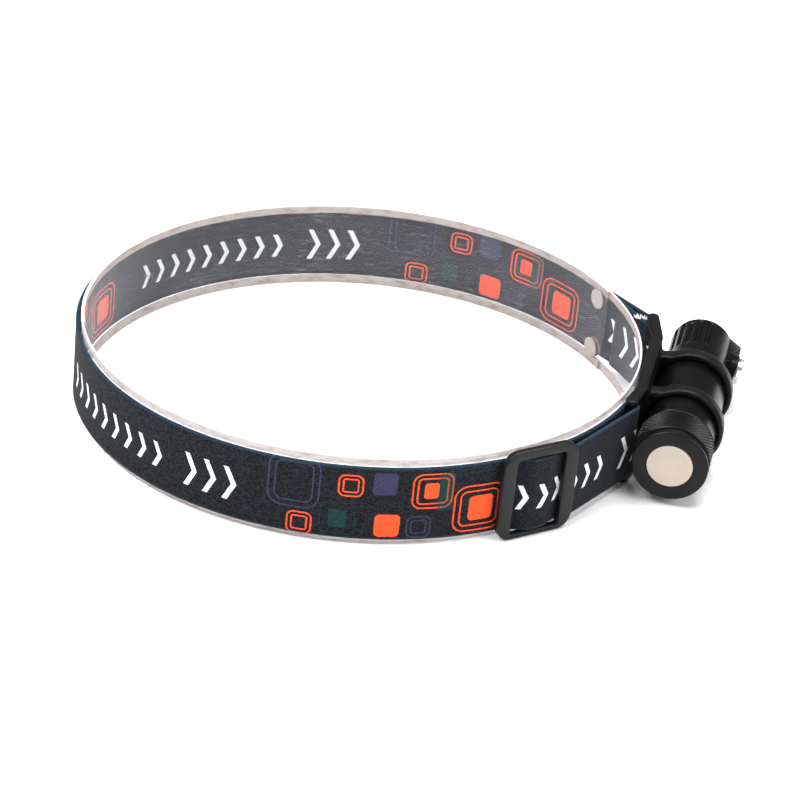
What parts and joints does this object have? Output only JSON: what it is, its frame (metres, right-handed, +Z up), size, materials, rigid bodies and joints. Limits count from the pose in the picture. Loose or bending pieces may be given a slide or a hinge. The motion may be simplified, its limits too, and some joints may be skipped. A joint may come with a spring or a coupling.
{
  "type": "headlamp",
  "caption": "Elastic head strap with a small right-angle torch held crosswise in a silicone holder, a slider and a clear round former.",
  "frame": {"origin": "centre of the head loop, on the plane that the loop stands on", "axes": "+Z up through the loop, +X towards the lamp and its beam, the lamp's own axis along Y with its tail at -Y"},
  "size_m": [0.2086, 0.1684, 0.0307],
  "materials": {
    "elastic_webbing": "woven elastic, twill face, blue-grey edges",
    "white_thread": "polyester thread",
    "black_silicone": "satin moulded silicone",
    "clear_plastic": "clear flexible strip with a milky haze",
    "frosted_plastic": "translucent snap rivets",
    "black_plastic": "satin moulded plastic",
    "black_anodised": "black anodised, satin",
    "nickel_plate": "pale nickel plate",
    "spring_steel": "wire",
    "gold_spring": "gold plated wire",
    "seal_rubber": "O-ring",
    "cell_wrap": "shrink wrapped steel can",
    "circuit_board": "glass epoxy board",
    "star_board": "aluminium core board",
    "led_phosphor": "phosphor under a clear dome",
    "wire_insulation": "insulated wire",
    "mirror_reflector": "vacuum plated",
    "lens_glass": "flat clear lens",
    "bright_bezel": "bright turned ring",
    "switch_metal": "tact switch can",
    "button_rubber": "matt rubber"
  },
  "bodies": {
    "headband": {"silicone_holder": "black_silicone", "strap_band": "elastic_webbing", "strap_stitching": "white_thread"},
    "former": {"clear_hoop": "clear_plastic", "hoop_rivets": "frosted_plastic"},
    "slider": {"slider_buckle": "black_plastic", "strap_in_slider": "elastic_webbing"},
    "lamp": {"battery_tube": "black_anodised", "head_housing": "black_anodised", "head_seal": "seal_rubber", "driver_board": "circuit_board", "led_wires": "wire_insulation", "led_board": "star_board", "led_emitter": "led_phosphor", "reflector": "mirror_reflector", "lens_seal": "seal_rubber", "lens": "lens_glass", "bezel_ring": "bright_bezel", "battery_cell": "cell_wrap", "positive_spring": "gold_spring", "tail_seal": "seal_rubber", "switch_board": "circuit_board", "tact_switch": "switch_metal", "switch_retainer": "black_plastic"},
    "cap_advance": {"tail_spring": "spring_steel"},
    "cap": {"tail_cap": "black_anodised", "tail_magnet": "nickel_plate"},
    "button": {"switch_button": "button_rubber"}
  },
  "joints": [
    {"name": "former_lift", "type": "slide", "parent": "headband", "child": "former", "axis": [0, 0, 1], "range_m": [0, 0.04]},
    {"name": "slider_adjust", "type": "hinge", "parent": "headband", "child": "slider", "pos_m": [-0.00166, 0.00967, 0], "axis": [0, 0, 1], "range_deg": [-6.2, 6.2]},
    {"name": "lamp_aim", "type": "hinge", "parent": "headband", "child": "lamp", "pos_m": [0.1038, 0, 0.0148], "axis": [0, 1, 0], "range_deg": [-60, 36]},
    {"name": "cap_thread_advance", "type": "slide", "parent": "lamp", "child": "cap_advance", "axis": [0, -1, 0], "range_m": [0, 0.0061]},
    {"name": "cap_turn", "type": "hinge", "parent": "cap_advance", "child": "cap", "pos_m": [0.1038, -0.0273, 0.0148], "axis": [0, -1, 0], "range_deg": [0, 2160]},
    {"name": "button_press", "type": "slide", "parent": "lamp", "child": "button", "axis": [0, -1, 0], "range_m": [0, 0.0005], "stiffness_N_per_m": 1000}
  ],
  "couplings": [
    {"joint": "cap_thread_advance", "follows": "cap_turn", "m_per_rad": 0.00015915}
  ]
}
